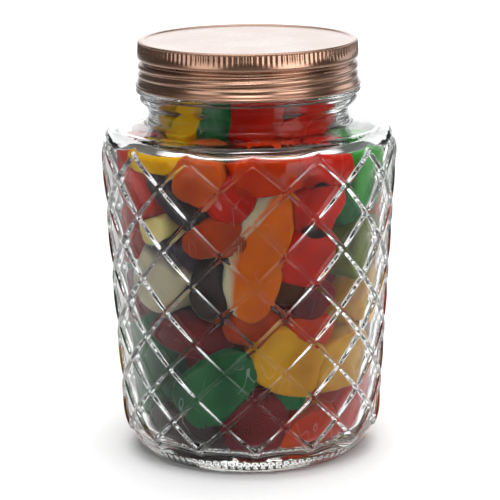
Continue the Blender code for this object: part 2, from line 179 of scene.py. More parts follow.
def add_range(tree, value, low, high, start=0.35, end=0.65):
    """Spread a pattern's middle values from low to high."""
    spread = tree.nodes.new("ShaderNodeMapRange")
    spread.inputs["From Min"].default_value = start
    spread.inputs["From Max"].default_value = end
    spread.inputs["To Min"].default_value = low
    spread.inputs["To Max"].default_value = high
    tree.links.new(value, spread.inputs["Value"])
    return spread.outputs["Result"]


def add_colours(tree, value, dark, light):
    """A pattern's values turned into a run from a darker to a lighter colour."""
    ramp = tree.nodes.new("ShaderNodeValToRGB")
    ends = ((RAMP_START, dark), (RAMP_END, light))
    for element, (position, colour) in zip(ramp.color_ramp.elements, ends):
        element.position = position
        element.color = (*colour, 1)
    tree.links.new(value, ramp.inputs["Fac"])
    return ramp.outputs["Color"]


def add_mix(tree, amount, first, second):
    """A blend of two colours. The second may be a link or a plain colour."""
    mix = tree.nodes.new("ShaderNodeMix")
    mix.data_type = "RGBA"
    tree.links.new(amount, mix.inputs["Factor"])
    tree.links.new(first, mix.inputs["A"])
    if isinstance(second, tuple):
        mix.inputs["B"].default_value = (*second, 1)
    else:
        tree.links.new(second, mix.inputs["B"])
    return mix.outputs["Result"]


def add_bump(tree, shader, value, height):
    """Small relief from a pattern, in metres."""
    bump = tree.nodes.new("ShaderNodeBump")
    bump.inputs["Distance"].default_value = height
    tree.links.new(value, bump.inputs["Height"])
    tree.links.new(bump.outputs["Normal"], shader.inputs["Normal"])


def add_piece(name, bm, finishes, node, sharp_degrees=None):
    """Weld, close and shade a mesh, and put it in place of a solid."""
    bmesh.ops.remove_doubles(bm, verts=bm.verts, dist=1e-7)
    bmesh.ops.recalc_face_normals(bm, faces=bm.faces)
    mesh = bpy.data.meshes.new(name)
    bm.to_mesh(mesh)
    bm.free()
    mesh.shade_smooth()
    if sharp_degrees:
        mesh.set_sharp_from_angle(angle=math.radians(sharp_degrees))
    for finish in finishes:
        mesh.materials.append(finish)
    piece = bpy.data.objects.new(name, mesh)
    bpy.context.scene.collection.objects.link(piece)
    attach(piece, "root")
    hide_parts(node)
    print(name, len(mesh.polygons), "faces")
    return piece


# %% [markdown]
# ## The floor
#
# The jar stands on plain pale paper. It isn't quite white, because upright glass mirrors the floor before it,
# and a whiter floor would grey the colours inside. Its tone varies by a hair, as real paper's does.

# %% Paper
FLOOR_REACH = 3.0
PAPER_TONES = ((0.90, 0.90, 0.90), (0.92, 0.92, 0.92))
PAPER_GRAIN = 400

floor_paper, paper_tree, paper_shader = new_finish("floor_paper", Roughness=0.8)
paper_colour = add_colours(paper_tree, add_noise(paper_tree, PAPER_GRAIN), *PAPER_TONES)
paper_tree.links.new(paper_colour, paper_shader.inputs["Base Color"])
floor_mesh = bpy.data.meshes.new("floor")
corner_signs = ((-1, -1), (1, -1), (1, 1), (-1, 1))
floor_corners = [(x * FLOOR_REACH, y * FLOOR_REACH, jar_low.z) for x, y in corner_signs]
floor_mesh.from_pydata(floor_corners, [], [(0, 1, 2, 3)])
floor_mesh.materials.append(floor_paper)
floor = bpy.data.objects.new("floor", floor_mesh)
bpy.context.scene.collection.objects.link(floor)
print("floor", 2 * FLOOR_REACH, "m across")

# %% [markdown]
# ## The glass jar
#
# The jar is pressed in a mould. Its ribs are the mould's grooves, so they have round crests and melt into
# each other where they cross. The panes between them are nearly flat. The wall could be a turned shape with a
# bump pattern, but bump doesn't bend light at a rib's edge, and those bright and dark lines are what the eye
# reads as glass. So each diamond of the wall is its own small grid, fine along the ribs and coarse inside.

# %% Sizes of the jar
FOOT_RADIUS = 33.8 * MM
HEEL_HEIGHT = 13.8 * MM
HEEL_POWER = 1.6
WALL_FOOT_RADIUS = 42.8 * MM
WALL_TOP_RADIUS = 48.4 * MM
WALL_TOP = 103.6 * MM
SHOULDER_HEIGHT = 8.2 * MM
SHOULDER_DEPTH = 8.0 * MM
SHOULDER_POWER = 3.0
GLASS = 2.6 * MM  # wall thickness

COLUMNS = 14
ROWS = 10  # gaps between rows, top to bottom
LATTICE_TURN = 0.055  # of a step, to the right of the front
STEP_ANGLE = 2 * math.pi / COLUMNS
ROW_ONE = 97.3 * MM
TOP_GAP = 9.3 * MM  # above row one
ROW_GAP = 10.75 * MM  # below row one, and each next gap is a little less
ROW_GAP_LESS = 0.24 * MM
DIAMOND_SIDE = 14.9 * MM
RIB_HEIGHT = 1.0 * MM
RIB_HALF_WIDTH = 0.95 * MM
RIB_BLEND = 0.4 * MM  # how softly ribs melt together where they cross
RIB_ROUND = 1.3  # how full a rib's section is: 1 is a plain wave
PANE_SINK = 0.6 * MM  # from the round to the middle of a diamond's nearly flat pane


def wall_radius(height):
    """Outer radius of the jar between its foot and the top of its shoulder, without ribs."""
    if height < HEEL_HEIGHT:
        drop = 1 - max(height, 0.0) / HEEL_HEIGHT
        bulge = (1 - drop**HEEL_POWER) ** (1 / HEEL_POWER)
        return FOOT_RADIUS + (WALL_FOOT_RADIUS - FOOT_RADIUS) * bulge
    if height < WALL_TOP:
        share = (height - HEEL_HEIGHT) / (WALL_TOP - HEEL_HEIGHT)
        return WALL_FOOT_RADIUS + (WALL_TOP_RADIUS - WALL_FOOT_RADIUS) * share
    rise = min((height - WALL_TOP) / SHOULDER_HEIGHT, 1.0)
    return WALL_TOP_RADIUS - SHOULDER_DEPTH * (1 - (1 - rise**SHOULDER_POWER) ** (1 / SHOULDER_POWER))


def row_height(row):
    """Height of a lattice row, counted down from the rib tips at the shoulder."""
    if row < 1:
        return ROW_ONE + TOP_GAP * (1 - row)
    below = row - 1
    return ROW_ONE - ROW_GAP * below + ROW_GAP_LESS * below * (below - 1) / 2


print("lattice from", round(row_height(ROWS) / MM, 1), "to", round(row_height(0) / MM, 1), "mm")

# %% [markdown]
# A rib's height depends on how far a point is from the nearest side of its diamond. Taking the smallest of
# the four distances would leave sharp corners where ribs cross. A soft minimum rounds them, as the mould does.

# %% The ribbed wall
# Places along a diamond's side, from a rib's crest to the middle of a pane, then the same mirrored
NEAR_RIB = (0.0, 0.012, 0.024, 0.036, 0.047, 0.056, 0.065, 0.09, 0.16, 0.3)
DIAMOND_STEPS = NEAR_RIB + (0.5,) + tuple(1 - step for step in NEAR_RIB[::-1])


def rib_height(distance):
    """Height of a rib at a distance from its crest: a round top with soft feet."""
    share = min(max(distance, 0.0) / RIB_HALF_WIDTH, 1.0)
    return RIB_HEIGHT * (1 - share**2) ** RIB_ROUND


def pane_sink(across, along):
    """How far a diamond's pane lies inside the round, at shares of its two sides: most in its middle."""
    hump = 4 * across * (1 - across) * 4 * along * (1 - along)
    return PANE_SINK * hump


def diamond_relief(across, along):
    """Rib height at a place in a diamond, given as shares of its two sides."""
    sides = [side * DIAMOND_SIDE for side in (across, 1 - across, along, 1 - along)]
    rib = rib_height(-RIB_BLEND * math.log(sum(math.exp(-side / RIB_BLEND) for side in sides)))
    return rib - pane_sink(across, along)


def wall_place(column, row, relief):
    """A point on the outer wall. Columns count half steps round from the front."""
    angle = (column / 2 + LATTICE_TURN) * STEP_ANGLE
    height = row_height(row)
    radius = wall_radius(height) + relief
    return Vector((radius * math.sin(angle), -radius * math.cos(angle), height))


def add_lattice(bm):
    """The ribbed wall, diamond by diamond, with half diamonds at its upper and lower edge."""
    last = len(DIAMOND_STEPS) - 1
    relief = [[diamond_relief(a, b) for b in DIAMOND_STEPS] for a in DIAMOND_STEPS]
    for middle_row in range(ROWS + 1):
        for middle in range(middle_row % 2 + 1, 2 * COLUMNS + middle_row % 2 + 1, 2):
            verts = {}
            for i, a in enumerate(DIAMOND_STEPS):
                for j, b in enumerate(DIAMOND_STEPS):
                    past_top = middle_row == 0 and i + j < last
                    past_bottom = middle_row == ROWS and i + j > last
                    if not past_top and not past_bottom:
                        place = wall_place(middle + a - b, middle_row - 1 + a + b, relief[i][j])
                        verts[i, j] = bm.verts.new(place)
            for i in range(last):
                for j in range(last):
                    keys = ((i, j), (i + 1, j), (i + 1, j + 1), (i, j + 1))
                    corners = [verts[key] for key in keys if key in verts]
                    if len(corners) > 2:
                        bm.faces.new(corners)


# %% [markdown]
# Above and below the lattice the jar is a turned shape: rings of points, joined one to the next. Each ring has
# as many points as its detail needs. Where two neighbours differ, triangles follow the angle round. An outline
# is drawn with a few corners, which are then rounded, as a turner would sketch it.

# %% Rings
START_ANGLE = LATTICE_TURN * STEP_ANGLE
ANGLE_SLACK = 0.001  # keeps a ring's first point from counting as its last
CORNER_SHARE = 0.45  # of a straight stretch, at most, that one rounded corner takes up


def ring(radius, height, count):
    """A round ring of points, from the lattice's own first angle."""
    angles = START_ANGLE + np.arange(count) * 2 * math.pi / count
    return [Vector((radius * math.sin(angle), -radius * math.cos(angle), height)) for angle in angles]


def join_rings(bm, low, high):
    """Faces between two rings of mesh points."""
    if len(low) == len(high):
        for side in range(len(low)):
            after = (side + 1) % len(low)
            bm.faces.new((low[side], low[after], high[after], high[side]))
        return
    turns = []
    for verts in (low, high):
        angles = [math.atan2(vert.co.x, -vert.co.y) - START_ANGLE + ANGLE_SLACK for vert in verts]
        turns.append([angle % (2 * math.pi) for angle in angles] + [2 * math.pi])
    i = j = 0
    while i < len(low) or j < len(high):
        corners = [low[i % len(low)], high[j % len(high)]]
        if j == len(high) or (i < len(low) and turns[0][i + 1] <= turns[1][j + 1]):
            i += 1
            corners.append(low[i % len(low)])
        else:
            j += 1
            corners.append(high[j % len(high)])
        if len(set(corners)) == 3:
            bm.faces.new(corners)


def add_rings(bm, rings):
    """Mesh rings joined in order. A ring of one point closes an end."""
    made = [[bm.verts.new(place) for place in places] for places in rings]
    for low, high in zip(made, made[1:]):
        join_rings(bm, low, high)


def soft_line(points, radius, count=4):
    """A line with its corners rounded. Points are (radius, height), all in millimetres."""
    corners = [Vector(point) * MM for point in points]
    line = [corners[0]]
    for before, corner, after in zip(corners, corners[1:], corners[2:]):
        shorter = min((before - corner).length, (after - corner).length)
        reach = min(radius * MM, shorter * CORNER_SHARE)
        start = corner + (before - corner).normalized() * reach
        end = corner + (after - corner).normalized() * reach
        for step in range(count + 1):
            share = step / count
            line.append(start * (1 - share) ** 2 + corner * 2 * share * (1 - share) + end * share**2)
    return line + [corners[-1]]


# %% [markdown]
# A rib ends in half a dome at the shoulder and at the heel. Small nubs sit low on the heel, just above the ring
# that the jar stands on, and show as a row of bright dots. They could be separate beads, but glass pressed in
# one mould has no seams, so the heel's own rings swell out to them.

# %% The outside above and below the lattice
ROUND_POINTS = 160
NUBS = 96
POINTS_PER_NUB = 6
NUB_HEIGHT = 0.45 * MM
NUB_LEVEL = 4.0 * MM
NUB_HALF_WIDTH = 1.0 * MM
PUSH_UP = 2.5 * MM
TIP_ROWS = (0.0, 0.03, 0.06, 0.1, 0.17, 0.26)  # past the lattice's edge, in rows
SHOULDER_START, SHOULDER_END = 50, 88  # degrees of the shoulder's arc
# Outlines in millimetres, as (radius, height)
NECK_LINE = [(39.6, 111.9), (34.6, 112.4), (33.4, 113.7), (33.3, 117.2), (35.4, 119.0)]
BULGE_LINE = [(35.7, 119.3), (36.1, 119.9), (36.0, 121.4), (35.6, 122.0), (36.3, 122.5)]
BEAD_LINE = [(36.6, 122.6), (37.3, 122.7), (37.4, 123.5), (36.4, 123.9), (34.6, 124.1)]
UNDER_LID_LINE = [(34.3, 124.4), (34.3, 137.0), (33.6, 138.0), (32.2, 138.0)]
HEEL_LEVELS = (6.4, 5.6, 5.0, 4.8, 4.5, 4.2, 4.0, 3.8, 3.5, 3.2, 3.0, 2.4, 1.6, 1.1)
UNDERSIDE = [(34.1, 0.6), (33.3, 0.36), (32.7, 0.1), (31.4, 0.0), (30.6, 0.1), (30.0, 0.5), (29.2, 0.9),
             (27.5, 1.4), (22.0, 1.9), (12.0, 2.4)]
edge_columns = [column + 2 * step for column in range(0, 2 * COLUMNS, 2) for step in DIAMOND_STEPS[:-1]]


def rib_tips(edge_row, direction):
    """Rings from the lattice's edge outwards, over the domed ends of the ribs."""
    rings = []
    for beyond in TIP_ROWS:
        row = edge_row + direction * beyond
        rise = abs(row_height(row) - row_height(edge_row))
        places = []
        for column in edge_columns:
            aside = abs((column + 1) % 2 - 1) * STEP_ANGLE / 2 * wall_radius(row_height(edge_row))
            share = column % 2 / 2
            relief = rib_height(math.hypot(aside * math.sqrt(0.5), rise) - RIB_BLEND * math.log(2))
            relief -= pane_sink(share, 1 - share) * (1 - beyond / TIP_ROWS[-1])
            if beyond == 0:
                relief = diamond_relief(share, 1 - share)
            places.append(wall_place(column, row, relief))
        rings.append(places)
    return rings


def shoulder_to_mouth():
    """Rings of the shoulder's top, the neck, the bulge, the bead, and the plain glass inside the lid."""
    line = []
    for angle in np.radians(np.linspace(SHOULDER_START, SHOULDER_END, 10)):
        radius = WALL_TOP_RADIUS - SHOULDER_DEPTH * (1 - math.cos(angle) ** (2 / SHOULDER_POWER))
        line.append(Vector((radius, WALL_TOP + SHOULDER_HEIGHT * math.sin(angle) ** (2 / SHOULDER_POWER))))
    line += soft_line(NECK_LINE, 1.6)
    line += soft_line(BULGE_LINE, 0.8)
    line += soft_line(BEAD_LINE, 0.5)
    line += soft_line(UNDER_LID_LINE, 0.8)
    return [ring(radius, height, ROUND_POINTS) for radius, height in line]


def heel_to_underside():
    """Rings of the heel with its nubs, the plain ring that the jar stands on, and the push-up."""
    rings = []
    for height in HEEL_LEVELS:
        places = ring(wall_radius(height * MM), height * MM, POINTS_PER_NUB * NUBS)
        upright = max(1 - abs(height * MM - NUB_LEVEL) / NUB_HALF_WIDTH, 0)
        for number, place in enumerate(places):
            round_top = max(math.cos(2 * math.pi * number / POINTS_PER_NUB), 0)
            swell = NUB_HEIGHT * math.sqrt(upright) * round_top
            place += Vector((place.x, place.y, 0)).normalized() * swell
        rings.append(places)
    rings += [ring(radius * MM, height * MM, ROUND_POINTS) for radius, height in UNDERSIDE]
    return rings + [[Vector((0, 0, PUSH_UP))]]


print("the lattice's edge has", len(edge_columns), "points")

# %% [markdown]
# The inside is a plain turned hollow: the plunger that pressed it was smooth. Hot glass never sets quite
# even, so the wall's inside waves by a tenth of a millimetre, which makes the sweets behind it swim a little.

# %% The inside of the jar
INSIDE_POINTS = 120
FLOOR_TOP = 7.2 * MM  # inside, at the middle
WAVE_HEIGHT = 0.12 * MM
WAVE_SIZE = 14 * MM
WAVES_END = 110 * MM  # the neck is even
# Outlines in millimetres, as (radius, height)
MOUTH_LINE = [(31.6, 138.0), (30.9, 137.6), (30.6, 136.0), (30.6, 114.0)]
THROAT_LINE = [(30.6, 113.2), (30.8, 111.3), (33.0, 109.6), (37.0, 108.9), (43.0, 108.4)]
INNER_SHOULDER_LINE = [(43.4, 108.3), (45.5, 107.0), (45.7, 102.0), (45.4, 98.0)]
INNER_WALL_LEVELS = range(94, 17, -6)
INNER_FLOOR_LINE = [(40.2, 14.5), (39.9, 12.0), (37.6, 8.2), (33.0, 6.4), (20.0, 6.7), (8.0, 7.1)]


def mouth_to_floor():
    """Rings of the inside, from the mouth down to the middle of the floor."""
    line = soft_line(MOUTH_LINE, 0.6)
    line += soft_line(THROAT_LINE, 1.8)
    line += soft_line(INNER_SHOULDER_LINE, 2.4)
    line += [Vector((wall_radius(height * MM) - GLASS, height * MM)) for height in INNER_WALL_LEVELS]
    line += soft_line(INNER_FLOOR_LINE, 3.0)
    rings = []
    for radius, height in line:
        places = ring(radius, height, INSIDE_POINTS)
        if height < WAVES_END:
            for place in places:
                wave = noise.noise(place / WAVE_SIZE) * WAVE_HEIGHT
                place += Vector((place.x, place.y, 0)).normalized() * wave
        rings.append(places)
    return rings + [[Vector((0, 0, FLOOR_TOP))]]


def make_jar(finish):
    """The whole jar as one closed skin of glass."""
    bm = bmesh.new()
    add_lattice(bm)
    add_rings(bm, rib_tips(0, -1) + shoulder_to_mouth() + mouth_to_floor())
    add_rings(bm, rib_tips(ROWS, 1) + heel_to_underside())
    return add_piece("glass_jar", bm, [finish], "jar")


# %% [markdown]
# Clear soda glass is a shader that lets light through, with the right bending of light, 1.52. It has a trace
# of green. Its mirror reflections are toned down with a dark specular tint: the paper before the jar is far
# brighter than the jellies, and at full strength it would lie over their colours like a veil. A faint ripple
# on the skin is left by the mould.

# %% Glass
GLASS_COLOUR = (0.90, 0.925, 0.915, 1)
GLASS_MIRROR = (0.2, 0.2, 0.2, 1)
GLASS_BENDING = 1.52
RIPPLE_SCALE = 160
RIPPLE_HEIGHT = 0.02 * MM


def glass_finish():
    """Clear pressed glass."""
    finish, tree, shader = new_finish(
        "pressed_glass",
        Base_Color=GLASS_COLOUR,
        Roughness=0.0,
        IOR=GLASS_BENDING,
        Transmission_Weight=1.0,
        Specular_Tint=GLASS_MIRROR,
    )
    ripple = add_noise(tree, RIPPLE_SCALE, detail=1.0)
    add_bump(tree, shader, ripple, RIPPLE_HEIGHT)
    return finish


make_jar(glass_finish())

# %% [markdown]
# ## The lid
#
# The lid is one disc of tinplate, drawn into a cup, with a fluted edge for the fingers, a thread rolled in
# from outside and its rim curled. The flutes could be an array of small cuts, but a turned shape whose radius
# changes with angle carries both the flutes and the thread, in one closed shell.

# %% Sizes of the lid
LID_POINTS = 480
PANEL_RADIUS = 15 * MM  # of the one ring in the flat middle of the top
FLUTES = 130
FLUTE_DEPTH = 0.35 * MM
FLUTE_TOP, FLUTE_BOTTOM = 139.2 * MM, 134.7 * MM
FLUTE_RUN_IN, FLUTE_RUN_OUT = 0.5 * MM, 2.4 * MM  # lengths over which a flute deepens and fades
THREAD_TOP, THREAD_BOTTOM = 132.2 * MM, 126.9 * MM
THREAD_RUN_IN, THREAD_RUN_OUT = 1.0 * MM, 1.3 * MM
THREAD_STARTS = 2
THREAD_GAP = 2.7 * MM  # between the two grooves
THREAD_FRONT = 130.8 * MM  # the upper groove's height at the front
THREAD_DEPTH = 0.65 * MM
GROOVE_POWER = 1.5  # above 1, the lands are wider than the grooves
FLUTED_RADIUS, FLUTED_FLARE = 36.4, 0.05  # mm, and mm for each mm down
FLUTED_LEVELS = np.linspace(138.7, 134.6, 14)  # mm
THREADED_LEVELS = np.linspace(131.7, 127.2, 24)
# Outlines in millimetres, as (radius, height)
TOP_EDGE_LINE = [(30.0, 139.05), (33.8, 139.05), (34.6, 139.5), (35.8, 139.5), (36.35, 139.2), (36.4, 138.8)]
WAIST_LINE = [(36.6, 134.4), (36.45, 133.7), (35.5, 133.0), (35.35, 132.4), (36.2, 131.9)]
RIM_LINE = [(36.3, 127.0), (36.5, 126.3), (36.9, 125.5), (36.75, 125.3), (37.15, 125.15), (37.35, 124.75),
            (37.2, 124.3), (36.8, 124.1), (36.4, 124.3), (36.1, 125.2)]
LID_INSIDE_LINE = [(36.0, 125.6), (35.6, 126.6), (35.6, 131.6), (34.95, 132.4), (35.9, 133.6), (36.0, 138.0),
                   (35.4, 138.9), (30.0, 138.65)]


def fade(value, start, end):
    """Smooth step from 0 at start to 1 at end."""
    share = min(max((value - start) / (end - start), 0.0), 1.0)
    return share * share * (3 - 2 * share)


def lid_relief(angle, height):
    """How far the lid's skin lies inside its turned outline: flutes above, a two-start thread below."""
    flute = fade(height, FLUTE_BOTTOM, FLUTE_BOTTOM + FLUTE_RUN_OUT)
    flute *= fade(height, FLUTE_TOP, FLUTE_TOP - FLUTE_RUN_IN)
    thread = fade(height, THREAD_BOTTOM, THREAD_BOTTOM + THREAD_RUN_OUT)
    thread *= fade(height, THREAD_TOP, THREAD_TOP - THREAD_RUN_IN)
    turns = (height - THREAD_FRONT) / THREAD_GAP
    groove = 0.5 + 0.5 * math.cos(2 * math.pi * turns - THREAD_STARTS * angle)
    relief = FLUTE_DEPTH * flute * (0.5 + 0.5 * math.cos(angle * FLUTES))
    return relief + THREAD_DEPTH * thread * groove**GROOVE_POWER


def lid_outline():
    """The lid's outside from the middle of its top down to the curled rim, then up its inside."""
    outside = soft_line(TOP_EDGE_LINE, 0.3)
    for height in FLUTED_LEVELS:
        radius = FLUTED_RADIUS + (FLUTED_LEVELS[0] - height) * FLUTED_FLARE
        outside.append(Vector((radius, height)) * MM)
    outside += soft_line(WAIST_LINE, 0.5, 3)
    outside += [Vector((FLUTED_RADIUS, height)) * MM for height in THREADED_LEVELS]
    outside += soft_line(RIM_LINE, 0.15, 3)
    return outside, soft_line(LID_INSIDE_LINE, 0.4, 2)


def make_lid(finish):
    """The lid as a closed shell of sheet metal."""
    bm = bmesh.new()
    outside, inside = lid_outline()
    rings = [[Vector((0, 0, outside[0].y))], ring(PANEL_RADIUS, outside[0].y, LID_POINTS // 2)]
    for radius, height in outside:
        places = ring(radius, height, LID_POINTS)
        for place in places:
            relief = lid_relief(math.atan2(place.x, -place.y), height)
            place.xy *= 1 - relief / radius
        rings.append(places)
    rings += [ring(radius, height, LID_POINTS // 2) for radius, height in inside]
    add_rings(bm, rings + [[Vector((0, 0, inside[-1].y))]])
    return add_piece("copper_lid", bm, [finish], "lid", sharp_degrees=50)


# %% [markdown]
# The copper look is a tinted lacquer over bright tinplate: satin metal under a clear coat, which adds paler
# highlights of its own. Drawing the cup leaves faint rings, and handling leaves slight dulling, so the colour
# and the roughness vary a little round the skirt.

# %% Copper lacquer
COPPER_TONES = ((0.265, 0.143, 0.092), (0.325, 0.178, 0.117))
COPPER_ROUGHNESS = (0.24, 0.32)
METAL_GRAIN_HEIGHT = 0.01 * MM


def lid_finish():
    """Satin copper-coloured metal."""
    finish, tree, shader = new_finish(
        "copper_lacquer", Metallic=1.0, IOR=1.5, Coat_Weight=0.6, Coat_Roughness=0.15
    )
    streaks = add_noise(tree, 60, detail=3.0, stretch=(1, 1, 14))
    tree.links.new(add_colours(tree, streaks, *COPPER_TONES), shader.inputs["Base Color"])
    tree.links.new(add_range(tree, streaks, *COPPER_ROUGHNESS), shader.inputs["Roughness"])
    grain = add_noise(tree, 900, stretch=(1, 1, 8))
    add_bump(tree, shader, grain, METAL_GRAIN_HEIGHT)
    return finish


make_lid(lid_finish())

# %% [markdown]
# ## The jujubes
#
# Jujubes are chewy jellies, cast in starch, so every one is a rounded block that has shrunk and bent a little.
# They could be dropped into the jar with rigid-body physics, but then nobody chooses which colour shows where.
# So those against the glass are laid one by one, by angle and height, and settle by pushing each other apart.
#
# While they settle they keep well clear of the glass. Their skins may then swell nearly to the wall, where a
# thin layer of air stays: it is that air which lets the ribs show in front of them. Only on the floor and under
# the shoulder do they stick to the glass.

# %% Room inside the glass
GAP = 0.3 * MM  # of air between a jujube's skin and the wall
SPARE = 3 * GAP  # kept clear while settling
FLOOR_EDGE = 6.2 * MM
FLOOR_RADIUS = 33.0 * MM
INNER_HEEL = (38.0 * MM, 8.6 * MM)
INNER_WALL_TOP = 101.0 * MM
INNER_SHOULDER_RADIUS = 38.0 * MM
INNER_SHOULDER_HEIGHT = 7.9 * MM
INNER_SHOULDER_ANGLES = np.radians(np.linspace(25, 90, 4))
NECK_BORE = 30.6 * MM
INNER_NECK_LINE = [(33.4, 109.5), (30.6, 112.0), (30.6, 137.2), (31.4, 138.6)]  # mm
SHOULDER_UNDER = 107.5 * MM
STICK = 0.2 * MM  # how far a skin may sink into the floor, so that no air is left under it
STICKY_ROOF = 109.0 * MM  # and how high it may rise under the shoulder
FILL_TOP = 123.5 * MM


def cavity_profile():
    """Outline of the hollow, as (radius, height), from the middle of the floor up to the mouth."""
    wall_top_radius = WALL_TOP_RADIUS - GLASS
    line = [(0, FLOOR_TOP), (FLOOR_RADIUS, FLOOR_EDGE)]
    line += [INNER_HEEL, (WALL_FOOT_RADIUS - GLASS, HEEL_HEIGHT), (wall_top_radius, INNER_WALL_TOP)]
    for angle in INNER_SHOULDER_ANGLES:
        out = max(math.cos(angle), 0.0) ** (2 / SHOULDER_POWER)
        up = math.sin(angle) ** (2 / SHOULDER_POWER)
        radius = INNER_SHOULDER_RADIUS + (wall_top_radius - INNER_SHOULDER_RADIUS) * out
        line.append((radius, INNER_WALL_TOP + INNER_SHOULDER_HEIGHT * up))
    return line + [(radius * MM, height * MM) for radius, height in INNER_NECK_LINE]


def room_radius(height, spare=SPARE):
    """How far from the axis a jujube may reach at a height."""
    radii, levels = zip(*cavity_profile()[1:])
    return np.interp(height, levels, radii) - spare


def shift_inside(points, radii, skin=False):
    """How far each ball must move to stay inside. Points of a skin may go nearer to the glass."""
    reach = np.hypot(points[:, 0], points[:, 1]) + 1e-9
    spare, roof, bottom = SPARE, SHOULDER_UNDER, FLOOR_TOP + GAP
    if skin:
        spare, roof = GAP, STICKY_ROOF
        bottom = np.interp(reach, (0, FLOOR_RADIUS), (FLOOR_TOP, FLOOR_EDGE)) - STICK
    wide = reach + radii - (NECK_BORE - SPARE)
    high = points[:, 2] + radii - roof
    inwards = np.maximum(reach + radii - room_radius(points[:, 2], spare), 0)
    inwards = np.where(high > wide, np.maximum(inwards, wide), inwards)
    down = np.where(high > wide, 0, np.maximum(high, 0))
    down = np.maximum(down, points[:, 2] + radii - FILL_TOP)
    up = np.maximum(bottom + radii - points[:, 2], 0)
    away = -points / reach[:, None] * inwards[:, None]
    away[:, 2] = up - down
    return away


print("room at half height:", round(float(room_radius(AIM_HEIGHT)) / MM, 1), "mm")

# %% [markdown]
# Each jujube is a row of plain numbers. Its angle is counted from the front, to the right. Its turn is that of
# its length, from level. Its depth is how far it lies behind the first layer. Those round the back are laid by
# rule, in rings that interlock, with a fixed seed so that every run gives the same heap.

# %% Lay the jujubes
JUJUBE_SIZE = (25.0 * MM, 19.0 * MM, 15.0 * MM)
PRESS = 1.4 * MM  # how much of a jujube's thickness is pressed flat by the glass
SEED = 7
BACK_LEVELS = tuple(height * MM for height in (16, 36, 56, 76, 95))
BACK_START, BACK_END = 98, 262  # degrees
BACK_COUNT = 5  # in each ring
BACK_OFFSETS = (0.3, 0.7)  # of a step, for every other ring
BACK_SPREAD = 4  # degrees
BACK_LIFT = 2.0 * MM
BACK_SIZES = (0.9, 1.08)  # share of the usual size
NECK_BACK = (115, 170, 230, 285)  # degrees, of those at the back of the neck
NECK_LEVEL = 113.0 * MM
NECK_WIDTH = 0.8  # share of the usual width
NECK_TURN = 30  # degrees either way
FRONT_JUJUBES = (
    # kind, angle, height, length, width, turn, depth, in degrees and millimetres
    ("yellow", -40, 105, 22, 8, -3, 0),
    ("dark_red", -59, 97, 26, 14, -45, 0),
    ("amber", -22, 99, 16, 17, -10, 0),
    ("red", -7, 92, 16, 14, 60, 1),
    ("red_orange", 8, 102, 22, 13, 5, 0),
    ("red", 32, 102, 20, 13, 0, 0),
    ("bright_green", 60, 99, 22, 16, 80, 0),
    ("green", 50, 88, 12, 10, 0, 3),
    ("red", 30, 90, 18, 16, 60, 0),
    ("orange_cream", -1, 75, 42, 17, 74, 0),
    ("red", 26, 77, 21, 17, 70, 0),
    ("olive", 60, 74, 20, 14, 65, 0),
    ("amber", 79, 80, 22, 15, 80, 1),
    ("black", -33, 93, 21, 10, -40, 1),
    ("brown", -12, 85, 20, 13, 10, 1),
    ("pale_yellow", -43, 80, 11, 9, 20, 1),
    ("red", -70, 77, 20, 13, 60, 1),
    ("black_cream", -36, 68, 27, 20, 55, 0),
    ("black", -17, 66, 20, 12, 95, 2),
    ("maroon", -68, 54, 19, 14, 70, 1),
    ("maroon", -25, 37, 26, 14, -10, 3),
    ("brown", 2, 50, 17, 11, 0, 3),
    ("dark_brown", 13, 61, 12, 10, 0, 3),
    ("maroon", 26, 57, 15, 12, 40, 2),
    ("yellow", 70, 56, 19, 12, 70, 1),
    ("red_orange", 28, 50, 15, 11, 0, 2),
    ("gold", 18, 38, 22, 20, -20, 0),
    ("gold", 46, 37, 24, 18, 10, 0),
    ("green", -66, 34, 34, 18, 85, 0),
    ("green", -17, 24, 28, 20, 40, 0),
    ("maroon", 1, 17, 23, 18, 60, 0),
    ("green", 16, 27, 11, 9, 0, 3),
    ("red", 60, 21, 22, 17, 40, 0),
    ("red_orange", 32, 13, 22, 15, 20, 0),
    ("black", -32, 12, 28, 15, -5, 0),
    ("black", -12, 10, 15, 10, 10, 4),
    ("yellow", -47, 113, 22, 12, 60, 0),
    ("green", -24, 113, 20, 11, 70, 1),
    ("red", 3, 116, 19, 16, 80, 0),
    ("dark_red", 37, 114, 24, 15, 20, 0),
)
NECK_KINDS = ("green", "red", "orange", "yellow")
BACK_KINDS = ("red", "green", "yellow", "orange", "maroon", "amber", "dark_red", "black")


def frame_at(angle, turn):
    """Axes of a jujube that lies against the glass: its length, its width, and straight out."""
    out = Vector((math.sin(angle), -math.cos(angle), 0))
    right = Vector((math.cos(angle), math.sin(angle), 0))
    up = Vector((0, 0, 1))
    length = math.cos(turn) * right + math.sin(turn) * up
    width = math.cos(turn) * up - math.sin(turn) * right
    return Matrix((length, width, out)).transposed()


